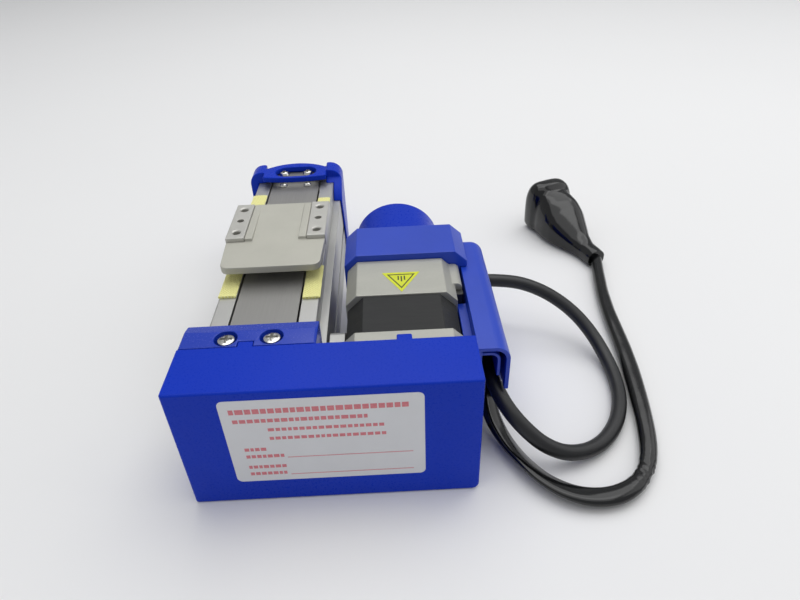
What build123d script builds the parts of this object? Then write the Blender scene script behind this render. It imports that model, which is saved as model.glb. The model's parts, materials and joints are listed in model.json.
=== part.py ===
"""Compact single-axis linear actuator: a ball-screw slider with its stepper motor folded alongside.

Frame: millimetres, +X towards the motor, +Y along the travel away from the belt cover, +Z up.
Origin: centre of the base plate's bottom face, under the screw axis.
"""
import os
from math import pi, radians, tan

from build123d import *

os.makedirs("parts", exist_ok=True)

# ---------------------------------------------------------------- driving dimensions
BODY_HALF_W = 23.4          # half the width of the base
BASE_HALF_L = 78.5          # half the length of the base
PLATE_T = 8.0               # base plate thickness
LEDGE_Z = 34.5              # height of the step on the outside of the side walls
RAIL_Z = 41.1               # top of the side walls
RAIL_HALF_W = 20.1          # half width over the tops of the side walls
SLOT_HALF_W = 13.2          # half width of the opening between the side walls
CHANNEL_HALF_W = 18.6       # half width of the channel inside
CHANNEL_TOP = 36.2          # underside of the side walls' inward flanges
COVER_TOP = 52.0            # top of the belt cover, the near cover and the rear cover
AXIS_Z = 28.4               # height of the screw and motor axes
MOTOR_X = 52.4              # motor axis, sideways from the screw axis
MOTOR_HALF = 21.15          # half of the 42.3 mm motor square
SCREW_R = 4.0               # ball screw, 8 mm
GAP = 0.3                   # gap between parts that pass each other
RUN = 0.05                  # radial clearance of a running fit

BELT_FRONT = -100.5         # front face of the belt cover
BELT_REAR = -BASE_HALF_L    # rear face of the motor bracket, where the base and motor bolt on
BRACKET_T = 5.5
SHEET = 1.6                 # wall of the covers
BELT_LEFT, BELT_RIGHT = -23.2, 76.2

NEAR_COVER_END = -64.6
NEAR_BLOCK_END = -60.0
FAR_BLOCK_START = 62.0
CAP_END = 82.0
CAP_TOP = 47.3

STACK_START, STACK_END = -71.2, -49.7
REAR_CAP_END = -25.8
REAR_COVER_END = -2.5
ENCODER_CAP_END = 27.5
ENCODER_CAP_R = 19.8

TABLE_BACK = 25.7
TABLE_FRONT = -14.0
PLATE_FRONT = -26.2
PAD_FRONT = -5.8
PAD_TOP = 51.8
HOLE_X = 17.35
HOLE_MID_Y = 9.8
HOLE_STEP_Y = 10.5

DUCT_LEFT, DUCT_RIGHT = 77.4, 89.0
DUCT_FRONT, DUCT_BACK = -77.2, -2.5
DUCT_BOTTOM, DUCT_TOP = 6.0, 44.5

MOTOR_CABLE_R = 2.9
LEAD_R = 3.0


# ---------------------------------------------------------------- helpers
def block(x0, x1, y0, y1, z0, z1, mode=Mode.ADD):
    """A box between two corners."""
    with Locations(((x0 + x1) / 2, (y0 + y1) / 2, (z0 + z1) / 2)):
        Box(x1 - x0, y1 - y0, z1 - z0, mode=mode)


def rod_y(x, z, radius, y0, y1, mode=Mode.ADD):
    """A cylinder along the travel axis."""
    with Locations(Location((x, (y0 + y1) / 2, z), (90, 0, 0))):
        Cylinder(radius, y1 - y0, mode=mode)


def rod_x(y, z, radius, x0, x1, mode=Mode.ADD):
    """A cylinder across the travel axis."""
    with Locations(Location(((x0 + x1) / 2, y, z), (0, 90, 0))):
        Cylinder(radius, x1 - x0, mode=mode)


def rod_z(x, y, radius, z0, z1, mode=Mode.ADD):
    """An upright cylinder."""
    with Locations((x, y, (z0 + z1) / 2)):
        Cylinder(radius, z1 - z0, mode=mode)


def screw_down(x, y, top, head_r, head_h, shank_r, length):
    """A pan-head cross-recess screw standing upright, its head's top at the given height."""
    under = top - head_h
    dome = 0.35 * head_h
    with BuildSketch(Plane.XZ.offset(-y)) as profile:
        with BuildLine():
            Polyline(
                (x, under - length),
                (x + shank_r, under - length),
                (x + shank_r, under),
                (x + head_r, under),
                (x + head_r, top - 2 * dome),
                (x + head_r - 0.25 * head_h, top - dome / 2),
                (x + 0.45 * head_r, top),
                (x, top),
                close=True,
            )
        make_face()
    revolve(profile.sketch, axis=Axis((x, y, 0), (0, 0, 1)))
    arm = 0.62 * head_r
    for size in ((2 * arm, 0.32 * head_r), (0.32 * head_r, 2 * arm)):
        with Locations((x, y, top)):
            Box(size[0], size[1], 1.1 * head_h, mode=Mode.SUBTRACT)


def socket_screw_y(x, z, y0, y1, head_r, head_len, shank_r):
    """A socket-head screw lying along Y: its head starts at y0 and its shank ends at y1."""
    rod_y(x, z, head_r, y0, y0 + head_len)
    rod_y(x, z, shank_r, y0 + head_len, y1)
    rod_y(x, z, 0.5 * head_r, y0, y0 + 0.55 * head_len, Mode.SUBTRACT)


def write(builder, name):
    """Label a finished piece and write it."""
    builder.part.label = name
    export_step(builder.part, f"parts/{name}.step")


def square_section(half, cut):
    """The outline of a motor square with its corners cut at 45 degrees."""
    return [
        (half, half - cut), (half - cut, half), (cut - half, half), (-half, half - cut),
        (-half, cut - half), (cut - half, -half), (half - cut, -half), (half, cut - half),
    ]


def motor_prism(half, cut, y0, y1, mode=Mode.ADD):
    """A motor-square prism along the motor's axis."""
    with BuildSketch(Plane.XZ.offset(-y1)) as section:
        with BuildLine():
            Polyline(*[(MOTOR_X + a, AXIS_Z + b) for a, b in square_section(half, cut)], close=True)
        make_face()
    extrude(section.sketch, amount=y1 - y0, mode=mode)


# ---------------------------------------------------------------- base
with BuildPart() as base_plate:
    block(-BODY_HALF_W, BODY_HALF_W, -BASE_HALF_L, BASE_HALF_L, 0, PLATE_T)
    chamfer(base_plate.edges().filter_by(Axis.Y).group_by(Axis.Z)[0], 0.6)
    for side in (-1, 1):
        with Locations((side * BODY_HALF_W, 0, 4.2)):
            Box(2.4, 2 * BASE_HALF_L, 1.6, mode=Mode.SUBTRACT)
    with Locations(Plane.XY):
        with GridLocations(36, 100, 2, 2):
            Hole(1.65, depth=14)
    for hole_y in (-62.0, 62.0):
        rod_z(0, hole_y, 1.5, 0, 5, Mode.SUBTRACT)
write(base_plate, "base_plate")


def side_wall(side):
    """One extruded side wall: a stepped web with an inward flange and a groove outside."""
    outline = [
        (CHANNEL_HALF_W, PLATE_T), (BODY_HALF_W, PLATE_T), (BODY_HALF_W, 13.0),
        (BODY_HALF_W - 1.6, 13.0), (BODY_HALF_W - 1.6, 16.5), (BODY_HALF_W, 16.5),
        (BODY_HALF_W, LEDGE_Z), (RAIL_HALF_W, LEDGE_Z), (RAIL_HALF_W, RAIL_Z - 0.4),
        (RAIL_HALF_W - 0.4, RAIL_Z), (SLOT_HALF_W, RAIL_Z), (SLOT_HALF_W, CHANNEL_TOP),
        (CHANNEL_HALF_W, CHANNEL_TOP),
    ]
    with BuildPart() as wall:
        with BuildSketch(Plane.XZ.offset(-BASE_HALF_L)):
            with BuildLine():
                Polyline(*[(side * a, b) for a, b in outline], close=True)
            make_face()
        extrude(amount=2 * BASE_HALF_L)
    return wall


write(side_wall(-1), "side_wall_left")
write(side_wall(1), "side_wall_right")

RAIL_START, RAIL_END = NEAR_BLOCK_END + 0.5, FAR_BLOCK_START - 0.5
RAIL_SCREW_Y = [-50.0 + 25.0 * i for i in range(5)]
with BuildPart() as guide_rail:
    block(-6, 6, RAIL_START, RAIL_END, PLATE_T, 14.6)
    for side in (-1, 1):
        rod_y(side * 6.6, 12.2, 1.3, RAIL_START, RAIL_END, Mode.SUBTRACT)
    for hole_y in RAIL_SCREW_Y:
        rod_z(0, hole_y, 3.0, 11.2, 14.6, Mode.SUBTRACT)
        rod_z(0, hole_y, 1.7, PLATE_T, 11.2, Mode.SUBTRACT)
write(guide_rail, "guide_rail")

with BuildPart() as rail_screws:
    for hole_y in RAIL_SCREW_Y:
        rod_z(0, hole_y, 2.75, 11.2, 14.2)
        rod_z(0, hole_y, 1.5, PLATE_T, 11.2)
        rod_z(0, hole_y, 1.2, 12.4, 14.2, Mode.SUBTRACT)
write(rail_screws, "rail_screws")

# ---------------------------------------------------------------- screw supports
BEARING_R, BEARING_BORE, BEARING_W = 8.5, 3.0, 6.0
BEARING_1 = (-77.0, -71.0)
BEARING_2 = (-71.0, -65.0)
BOSS_HALF_W, BOSS_TOP = SLOT_HALF_W - 0.3, 40.0
CLAMP_TOP, CLAMP_SCREW_X, CLAMP_SCREW_Y = 43.8, 6.3, 74.6
with BuildPart() as bearing_block:
    block(-18.3, 18.3, BELT_REAR, NEAR_BLOCK_END, PLATE_T, CHANNEL_TOP - 0.2)
    block(-BOSS_HALF_W, BOSS_HALF_W, BELT_REAR, NEAR_BLOCK_END, CHANNEL_TOP - 0.2, BOSS_TOP)
    rod_y(0, AXIS_Z, BEARING_R, BELT_REAR, -65, Mode.SUBTRACT)
    rod_y(0, AXIS_Z, 5.0, -65, NEAR_BLOCK_END, Mode.SUBTRACT)
    for x in (-7.75, 7.75):
        rod_z(x, -74.0, 1.6, 37.6, BOSS_TOP, Mode.SUBTRACT)
write(bearing_block, "bearing_block")

with BuildPart() as support_block:
    block(-18.3, 18.3, FAR_BLOCK_START, BASE_HALF_L, PLATE_T, CHANNEL_TOP - 0.2)
    block(-BOSS_HALF_W, BOSS_HALF_W, FAR_BLOCK_START, BASE_HALF_L, CHANNEL_TOP - 0.2, BOSS_TOP)
    rod_y(0, AXIS_Z, 6.5, FAR_BLOCK_START, 72, Mode.SUBTRACT)
    rod_y(0, AXIS_Z, 3.5, 72, 76, Mode.SUBTRACT)
    for x in (-CLAMP_SCREW_X, CLAMP_SCREW_X):
        rod_z(x, CLAMP_SCREW_Y, 1.3, 37.8, BOSS_TOP, Mode.SUBTRACT)
write(support_block, "support_block")


def ring(name, x, y0, y1, outer, inner):
    """A plain ring about an axis along Y."""
    with BuildPart() as piece:
        rod_y(x, AXIS_Z, outer, y0, y1)
        rod_y(x, AXIS_Z, inner, y0 - 1, y1 + 1, Mode.SUBTRACT)
    write(piece, name)


with BuildPart() as bearing_outer_rings:
    for y0, y1 in (BEARING_1, BEARING_2):
        rod_y(0, AXIS_Z, BEARING_R, y0 + 0.05, y1 - 0.05)
    rod_y(0, AXIS_Z, 7.2, -78, -64, Mode.SUBTRACT)
    rod_y(0, AXIS_Z, 6.5, 68, 72)
    rod_y(0, AXIS_Z, 5.4, 67, 73, Mode.SUBTRACT)
write(bearing_outer_rings, "bearing_outer_rings")

with BuildPart() as bearing_inner_rings:
    for y0, y1 in (BEARING_1, BEARING_2):
        rod_y(0, AXIS_Z, 4.4, y0 + 0.05, y1 - 0.05)
    rod_y(0, AXIS_Z, BEARING_BORE + 0.01, -78, -64, Mode.SUBTRACT)
    rod_y(0, AXIS_Z, 3.6, 68, 72)
    rod_y(0, AXIS_Z, 2.51, 67, 73, Mode.SUBTRACT)
write(bearing_inner_rings, "bearing_inner_rings")

with BuildPart() as bearing_balls:
    for ball_y, pitch_r, ball_r in ((-74.0, 5.8, 1.33), (-68.0, 5.8, 1.33), (70.0, 4.5, 0.84)):
        with Locations(Location((0, ball_y, AXIS_Z), (90, 0, 0))):
            with PolarLocations(pitch_r, 9):
                Sphere(ball_r)
write(bearing_balls, "bearing_balls")


BUMPER_T = 5.5
with BuildPart() as bumpers:
    for y0 in (NEAR_BLOCK_END, FAR_BLOCK_START - BUMPER_T):
        block(-11, 11, y0, y0 + BUMPER_T, 17.0, 35.6)
        rod_y(0, AXIS_Z, 5.5, y0 - 0.1, y0 + BUMPER_T + 0.1, Mode.SUBTRACT)
    fillet(bumpers.edges().filter_by(Axis.Y).group_by(Axis.X)[0], 1.5)
    fillet(bumpers.edges().filter_by(Axis.Y).group_by(Axis.X)[-1], 1.5)
write(bumpers, "bumpers")

# ---------------------------------------------------------------- screw cover and its clamp
SCREW_COVER_HALF_W = 12.4
SCREW_COVER_Z = (40.0, 41.0)
COVER_SCREW_Y = 67.2
with BuildPart() as screw_cover:
    block(-SCREW_COVER_HALF_W, SCREW_COVER_HALF_W, BELT_REAR, BASE_HALF_L, *SCREW_COVER_Z)
    for x in (-7.75, 7.75):
        rod_z(x, -74.0, 1.8, 39, 42, Mode.SUBTRACT)
    for x in (-CLAMP_SCREW_X, CLAMP_SCREW_X):
        for y in (CLAMP_SCREW_Y, COVER_SCREW_Y):
            rod_z(x, y, 1.5, 39, 42, Mode.SUBTRACT)
write(screw_cover, "screw_cover")

with BuildPart() as cover_clamp:
    block(-SCREW_COVER_HALF_W, SCREW_COVER_HALF_W, 71.6, BASE_HALF_L, SCREW_COVER_Z[1], CLAMP_TOP)
    chamfer(cover_clamp.edges().filter_by(Axis.X).group_by(Axis.Z)[-1], 0.4)
    for x in (-CLAMP_SCREW_X, CLAMP_SCREW_X):
        rod_z(x, CLAMP_SCREW_Y, 1.5, 41, 44, Mode.SUBTRACT)
write(cover_clamp, "cover_clamp")

with BuildPart() as clamp_screws:
    for x in (-CLAMP_SCREW_X, CLAMP_SCREW_X):
        screw_down(x, CLAMP_SCREW_Y, CLAMP_TOP + 2.2, 2.6, 2.2, 1.25, 5.7)
        screw_down(x, COVER_SCREW_Y, SCREW_COVER_Z[1] + 1.5, 2.1, 1.5, 1.0, 0.9)
write(clamp_screws, "clamp_screws")

# ---------------------------------------------------------------- near cover
NEAR_HALF_W = 23.0
TONGUE_HALF_W, TONGUE_END, NEAR_TONGUE_X = 2.6, -76.0, -0.6
NEAR_SLOPE_L, NEAR_SLOPE_H = 5.8, 1.7
NEAR_SCREW_X, NEAR_SCREW_Y = 7.75, -74.0
with BuildPart() as near_cover:
    block(-NEAR_HALF_W, NEAR_HALF_W, BELT_REAR, NEAR_COVER_END, LEDGE_Z + 0.1, COVER_TOP)
    over_rails = RAIL_HALF_W + 0.1
    block(-over_rails, over_rails, BELT_REAR, NEAR_COVER_END, LEDGE_Z, RAIL_Z + 0.1, Mode.SUBTRACT)
    rear_edge = near_cover.edges().filter_by(Axis.X).group_by(Axis.Z)[-1].sort_by(Axis.Y)[-1]
    chamfer(rear_edge, NEAR_SLOPE_L, NEAR_SLOPE_H)
    outer_top = near_cover.edges().filter_by(Axis.Y).group_by(Axis.Z)[-1]
    fillet(outer_top, 0.9)
    block(-19.6, 19.6, BELT_REAR + 1.8, NEAR_COVER_END - 3.4, RAIL_Z, COVER_TOP - 3.4, Mode.SUBTRACT)
    for x in (-NEAR_SCREW_X, NEAR_SCREW_X):
        rod_z(x, NEAR_SCREW_Y, 4.4, RAIL_Z + 0.1, COVER_TOP - 2)
    for x in (-NEAR_SCREW_X, NEAR_SCREW_X):
        rod_z(x, NEAR_SCREW_Y, 3.95, COVER_TOP - 2.6, COVER_TOP + 1, Mode.SUBTRACT)
        rod_z(x, NEAR_SCREW_Y, 1.8, RAIL_Z - 1, COVER_TOP, Mode.SUBTRACT)
    notch_half = TONGUE_HALF_W + 0.15
    block(NEAR_TONGUE_X - notch_half, NEAR_TONGUE_X + notch_half, BELT_REAR - 1, TONGUE_END + 0.15,
          COVER_TOP - SHEET - 0.1, COVER_TOP + 1, Mode.SUBTRACT)
write(near_cover, "near_cover")

with BuildPart() as near_cover_screws:
    for x in (-NEAR_SCREW_X, NEAR_SCREW_X):
        screw_down(x, NEAR_SCREW_Y, COVER_TOP - 0.2, 3.4, 2.4, 1.5, 11.0)
write(near_cover_screws, "near_cover_screws")

# ---------------------------------------------------------------- far end cap
CAP_HALF_W = 24.6
EAR_IN, EAR_FRONT = 16.2, 71.5
LONG_ARM = [
    (CAP_END, 1.0), (69.8, 1.0), (69.2, 7.0), (59.6, LEDGE_Z), (62.5, 38.4), (EAR_FRONT, 43.0),
    (EAR_FRONT, CAP_TOP), (CAP_END, CAP_TOP),
]
SHORT_ARM = [(CAP_END, 1.0), (EAR_FRONT, 1.0), (EAR_FRONT, CAP_TOP), (CAP_END, CAP_TOP)]
LENS_UNDER = 44.0


def half_cap(outline, x0, x1):
    """One half of the cap: its side outline carried across the object."""
    with BuildSketch(Plane.YZ.offset(x0)) as side_view:
        with BuildLine():
            Polyline(*outline, close=True)
        make_face()
    extrude(side_view.sketch, amount=x1 - x0)


with BuildPart() as end_cap:
    half_cap(LONG_ARM, 0, CAP_HALF_W)
    half_cap(SHORT_ARM, -CAP_HALF_W, 0)
    block(-EAR_IN, EAR_IN, 50, CAP_END + 1, RAIL_Z + 0.05, CAP_TOP + 1, Mode.SUBTRACT)
    ear_tops = end_cap.edges().filter_by(Axis.Y).group_by(Axis.Z)[-1].sort_by(Axis.X)
    fillet([ear_tops[0], ear_tops[-1]], 6.6)
    fillet(end_cap.edges().filter_by(Axis.Y).group_by(Axis.Z)[-1].sort_by(Axis.X)[1:3], 1.0)
    inner_half = BODY_HALF_W + 0.1
    block(-inner_half, inner_half, 50, BASE_HALF_L + 0.1, 0, LEDGE_Z + 0.1, Mode.SUBTRACT)
    block(-over_rails, over_rails, 50, BASE_HALF_L + 0.1, 30, RAIL_Z + 0.1, Mode.SUBTRACT)
    with BuildSketch(Plane.XY.offset(LENS_UNDER)) as lens:
        with BuildLine():
            ThreePointArc((-16.6, 66.4), (0, 64.4), (16.6, 66.4))
            Line((16.6, 66.4), (16.6, 76.8))
            ThreePointArc((16.6, 76.8), (0, 83.3), (-16.6, 76.8))
            Line((-16.6, 76.8), (-16.6, 66.4))
        make_face()
        with Locations((0.3, 72.4)):
            SlotOverall(21.6, 11.6, mode=Mode.SUBTRACT)
    extrude(lens.sketch, amount=CAP_TOP - 0.4 - LENS_UNDER)
    block(-17.4, 17.4, BASE_HALF_L + 1.3, CAP_END, RAIL_Z, LENS_UNDER + 0.1)
    for x in (-15.0, 15.0):
        rod_y(x, 12.0, 1.7, BASE_HALF_L, CAP_END + 1, Mode.SUBTRACT)
        rod_y(x, 12.0, 3.0, CAP_END - 1.6, CAP_END + 1, Mode.SUBTRACT)
write(end_cap, "end_cap")

with BuildPart() as end_cap_screws:
    for x in (-15.0, 15.0):
        rod_y(x, 12.0, 2.8, CAP_END - 1.5, CAP_END)
        rod_y(x, 12.0, 1.4, BASE_HALF_L + 0.1, CAP_END - 1.5)
        for size in ((3.4, 0.9), (0.9, 3.4)):
            with Locations((x, CAP_END, 12.0)):
                Box(size[0], 1.6, size[1], mode=Mode.SUBTRACT)
write(end_cap_screws, "end_cap_screws")

# ---------------------------------------------------------------- motor bracket and belt cover
BRACKET_FRONT = BELT_REAR - BRACKET_T
with BuildPart() as motor_bracket:
    block(-21.2, 74.2, BRACKET_FRONT, BELT_REAR, 1.8, 50.2)
    block(25.0, 30.9, BELT_REAR, -54.0, 6.0, 38.0)
    fillet(motor_bracket.edges().filter_by(Axis.X).group_by(Axis.Y)[-1].group_by(Axis.Z)[-1], 4.0)
    rod_y(0, AXIS_Z, 6.6, BRACKET_FRONT, BELT_REAR, Mode.SUBTRACT)
    rod_y(MOTOR_X, AXIS_Z, 11.1, BRACKET_FRONT, BELT_REAR, Mode.SUBTRACT)
    for dx in (-15.5, 15.5):
        for dz in (-15.5, 15.5):
            rod_y(MOTOR_X + dx, AXIS_Z + dz, 1.7, BRACKET_FRONT, BELT_REAR, Mode.SUBTRACT)
    for x in (-15.0, 15.0):
        for z in (14.0, 34.0):
            rod_y(x, z, 1.7, BRACKET_FRONT, BELT_REAR, Mode.SUBTRACT)
write(motor_bracket, "motor_bracket")

with BuildPart() as bracket_screws:
    for x in (-15.0, 15.0):
        for z in (14.0, 34.0):
            socket_screw_y(x, z, BRACKET_FRONT - 3.0, BELT_REAR, 2.75, 3.0, 1.5)
write(bracket_screws, "bracket_screws")

with BuildPart() as motor_screws:
    for dx in (-15.5, 15.5):
        for dz in (-15.5, 15.5):
            socket_screw_y(MOTOR_X + dx, AXIS_Z + dz, BRACKET_FRONT - 3.0, BELT_REAR, 2.75, 3.0, 1.5)
write(motor_screws, "motor_screws")

COVER_REAR = BELT_REAR - 0.1
with BuildPart() as belt_cover:
    block(BELT_LEFT, BELT_RIGHT, BELT_FRONT, COVER_REAR, 0, COVER_TOP)
    fillet(belt_cover.edges().filter_by(Axis.Y).group_by(Axis.X)[-1].group_by(Axis.Z)[0], 2.6)
    fillet(belt_cover.edges().group_by(Axis.Y)[0], 0.9)
    block(BELT_LEFT + SHEET, BELT_RIGHT - SHEET, BELT_FRONT + SHEET, 0,
          SHEET, COVER_TOP - SHEET, Mode.SUBTRACT)
    for middle in (NEAR_TONGUE_X, MOTOR_X):
        block(middle - TONGUE_HALF_W, middle + TONGUE_HALF_W, COVER_REAR - 1, TONGUE_END,
              COVER_TOP - SHEET, COVER_TOP)
    for x in (4.0, 48.0):
        rod_z(x, BRACKET_FRONT + 2.8, 1.7, -1, SHEET + 1, Mode.SUBTRACT)
        with Locations(Location((x, BRACKET_FRONT + 2.8, 0), (180, 0, 0))):
            Cone(1.7, 3.1, 1.4, align=(Align.CENTER, Align.CENTER, Align.MAX), mode=Mode.SUBTRACT)
write(belt_cover, "belt_cover")

with BuildPart() as belt_cover_screws:
    for x in (4.0, 48.0):
        with Locations(Location((x, BRACKET_FRONT + 2.8, 0.15), (180, 0, 0))):
            Cone(1.5, 2.8, 1.2, align=(Align.CENTER, Align.CENTER, Align.MAX))
        rod_z(x, BRACKET_FRONT + 2.8, 1.4, 1.3, 1.8)
write(belt_cover_screws, "belt_cover_screws")

with BuildPart() as front_label:
    with BuildSketch(Plane.XZ.offset(-BELT_FRONT)):
        with Locations((25.5, 29.5)):
            RectangleRounded(64.0, 38.0, 2.0)
    extrude(amount=0.12)
write(front_label, "front_label")

# ---------------------------------------------------------------- belt drive
PULLEY_R, PULLEY_TEETH = 7.4, 18
PULLEY_FRONT, PULLEY_BACK = -97.6, -88.0
BELT_Y = (-96.4, -89.4)


def pulley(name, x, bore, hub_back):
    """A toothed pulley with two flanges and a hub towards the bracket."""
    with BuildPart() as piece:
        rod_y(x, AXIS_Z, PULLEY_R, PULLEY_FRONT, PULLEY_BACK)
        with Locations(Location((x, (BELT_Y[0] + BELT_Y[1]) / 2, AXIS_Z), (90, 0, 0))):
            with PolarLocations(PULLEY_R, PULLEY_TEETH):
                Cylinder(0.55, BELT_Y[1] - BELT_Y[0], mode=Mode.SUBTRACT)
        rod_y(x, AXIS_Z, PULLEY_R + 1.9, PULLEY_FRONT, BELT_Y[0] - 0.2)
        rod_y(x, AXIS_Z, PULLEY_R + 1.9, BELT_Y[1] + 0.2, PULLEY_BACK)
        rod_y(x, AXIS_Z, 5.2, PULLEY_BACK, hub_back)
        rod_y(x, AXIS_Z, bore, PULLEY_FRONT - 1, hub_back + 1, Mode.SUBTRACT)
    write(piece, name)


pulley("screw_pulley", 0, 3.01, -84.6)
pulley("motor_pulley", MOTOR_X, 2.51, -84.6)

BELT_IN, BELT_OUT = PULLEY_R + 0.25, PULLEY_R + 1.45
with BuildPart() as timing_belt:
    for radius, mode in ((BELT_OUT, Mode.ADD), (BELT_IN, Mode.SUBTRACT)):
        with BuildSketch(Plane.XZ.offset(-BELT_Y[1])):
            with Locations((MOTOR_X / 2, AXIS_Z)):
                SlotCenterToCenter(MOTOR_X, 2 * radius)
        extrude(amount=BELT_Y[1] - BELT_Y[0], mode=mode)
write(timing_belt, "timing_belt")

# ---------------------------------------------------------------- ball screw and nut
with BuildPart() as ball_screw:
    rod_y(0, AXIS_Z, 3.0, PULLEY_FRONT, -64.9)
    rod_y(0, AXIS_Z, SCREW_R, -64.9, 67.0)
    rod_y(0, AXIS_Z, 2.5, 67.0, 73.5)
write(ball_screw, "ball_screw")

ring("bearing_nut", 0, -84.4, -77.1, 5.6, 3.01)

BLOCK_HALF_L = 26.0
NUT_Y = (-24.0, 4.0)
with BuildPart() as ball_nut:
    rod_y(0, AXIS_Z, 7.0, *NUT_Y)
    rod_y(0, AXIS_Z, 9.5, NUT_Y[0], NUT_Y[0] + 3.0)
    rod_y(0, AXIS_Z, SCREW_R + RUN, NUT_Y[0] - 1, NUT_Y[1] + 1, Mode.SUBTRACT)
write(ball_nut, "ball_nut")

# ---------------------------------------------------------------- slider
with BuildPart() as guide_carriage:
    block(-13.5, 13.5, -22.5, 22.5, 10.2, 18.7)
    block(-6.08, 6.08, -23, 23, 8, 14.9, Mode.SUBTRACT)
    chamfer(guide_carriage.edges().filter_by(Axis.Y).group_by(Axis.Z)[-1], 0.6)
write(guide_carriage, "guide_carriage")

LEG_IN, LEG_OUT = SCREW_COVER_HALF_W + 0.2, SLOT_HALF_W - 0.2
TABLE_Z = 44.0
with BuildPart() as slider_block:
    block(-CHANNEL_HALF_W + GAP, CHANNEL_HALF_W - GAP, -BLOCK_HALF_L, BLOCK_HALF_L, 18.7, CHANNEL_TOP - GAP)
    block(-LEG_OUT, LEG_OUT, -BLOCK_HALF_L, BLOCK_HALF_L, CHANNEL_TOP - GAP, 39.7)
    for side in (-1, 1):
        middle = side * (LEG_IN + LEG_OUT) / 2
        half = (LEG_OUT - LEG_IN) / 2
        block(middle - half, middle + half, TABLE_FRONT, TABLE_BACK, 39.7, TABLE_Z)
    rod_y(0, AXIS_Z, 7.0, -BLOCK_HALF_L, NUT_Y[1], Mode.SUBTRACT)
    rod_y(0, AXIS_Z, 9.5, -BLOCK_HALF_L, NUT_Y[0] + 3.0, Mode.SUBTRACT)
    rod_y(0, AXIS_Z, 5.2, NUT_Y[1], BLOCK_HALF_L, Mode.SUBTRACT)
write(slider_block, "slider_block")

PLATE_UNDER, PLATE_TOP = 46.6, 50.0
PLATE_HALF_W, PLATE_FRONT_HALF_W = 21.2, 20.2
RIB_IN, RIB_TOP = 9.9, 51.4
with BuildPart() as slider_table:
    block(-20.0, 20.0, TABLE_FRONT, TABLE_BACK - 0.3, TABLE_Z, PLATE_UNDER)
    chamfer(slider_table.edges().filter_by(Axis.Y).group_by(Axis.Z)[0], 0.5)
    for side in (-1, 1):
        for step in (-1, 0, 1):
            rod_z(side * HOLE_X, HOLE_MID_Y + step * HOLE_STEP_Y, 1.2, TABLE_Z, PLATE_UNDER, Mode.SUBTRACT)
write(slider_table, "slider_table")

PAD_IN, PAD_OUT = 13.35, 21.4
with BuildPart() as slider_cover:
    with BuildSketch(Plane.XY.offset(PLATE_UNDER)) as top_view:
        with BuildLine():
            Polyline(
                (-PLATE_HALF_W, PAD_FRONT), (-PLATE_FRONT_HALF_W, PLATE_FRONT),
                (PLATE_FRONT_HALF_W, PLATE_FRONT), (PLATE_HALF_W, PAD_FRONT),
                (PLATE_HALF_W, TABLE_BACK), (-PLATE_HALF_W, TABLE_BACK), close=True,
            )
        make_face()
    extrude(top_view.sketch, amount=RIB_TOP - PLATE_UNDER)
    fillet(slider_cover.edges().filter_by(Axis.Z).group_by(Axis.Y)[0], 3.6)
    with BuildSketch(Plane.YZ.offset(-22)) as side_view:
        with BuildLine():
            Polyline(
                (PLATE_FRONT - 1, PLATE_UNDER), (PLATE_FRONT - 1, PLATE_TOP - 0.3), (PAD_FRONT, PLATE_TOP),
                (TABLE_BACK, RIB_TOP), (TABLE_BACK, PLATE_UNDER), close=True,
            )
        make_face()
    extrude(side_view.sketch, amount=44, mode=Mode.INTERSECT)
    for side in (-1, 1):
        inner, outer = side * (PAD_IN - 0.15), side * 22.0
        block(min(inner, outer), max(inner, outer), PAD_FRONT - 0.15, 27, PLATE_UNDER, PAD_TOP, Mode.SUBTRACT)
        rib_in, rib_out = sorted((side * RIB_IN, side * (PAD_IN - 0.15)))
        block(rib_in, rib_out, PAD_FRONT - 0.15, TABLE_BACK, PLATE_UNDER + 1, RIB_TOP)
write(slider_cover, "slider_cover")


def mount_pad(side):
    """One hardened mounting pad with two threaded holes and a dowel hole between them."""
    inner, outer = side * PAD_IN, side * PAD_OUT
    with BuildPart() as pad:
        block(min(inner, outer), max(inner, outer), PAD_FRONT, TABLE_BACK, PLATE_UNDER, PAD_TOP)
        chamfer(pad.faces().sort_by(Axis.Z)[-1].edges(), 0.3)
        for step in (-1, 1):
            hole_y = HOLE_MID_Y + step * HOLE_STEP_Y
            rod_z(side * HOLE_X, hole_y, 1.65, PLATE_UNDER, PAD_TOP, Mode.SUBTRACT)
            with Locations((side * HOLE_X, hole_y, PAD_TOP)):
                Cone(1.65, 2.15, 0.5, align=(Align.CENTER, Align.CENTER, Align.MAX), mode=Mode.SUBTRACT)
        rod_z(side * HOLE_X, HOLE_MID_Y, 1.5, PLATE_UNDER, PAD_TOP, Mode.SUBTRACT)
    return pad


write(mount_pad(-1), "mount_pad_left")
write(mount_pad(1), "mount_pad_right")

# ---------------------------------------------------------------- motor
with BuildPart() as motor_front_cap:
    motor_prism(MOTOR_HALF, 4.2, BELT_REAR, STACK_START)
    rod_y(MOTOR_X, AXIS_Z, 11.0, BELT_REAR - 2.0, BELT_REAR)
    rod_y(MOTOR_X, AXIS_Z, 6.5, BELT_REAR - 0.5, STACK_START, Mode.SUBTRACT)
    rod_y(MOTOR_X, AXIS_Z, 4.0, BELT_REAR - 2.0, BELT_REAR - 0.5, Mode.SUBTRACT)
    rod_y(MOTOR_X, AXIS_Z, 13.0, -74.0, STACK_START, Mode.SUBTRACT)
write(motor_front_cap, "motor_front_cap")

with BuildPart() as motor_stack:
    motor_prism(MOTOR_HALF - 0.6, 6.2, STACK_START, STACK_END)
    rod_y(MOTOR_X, AXIS_Z, 12.2, STACK_START - 1, STACK_END + 1, Mode.SUBTRACT)
write(motor_stack, "motor_stack")

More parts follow.
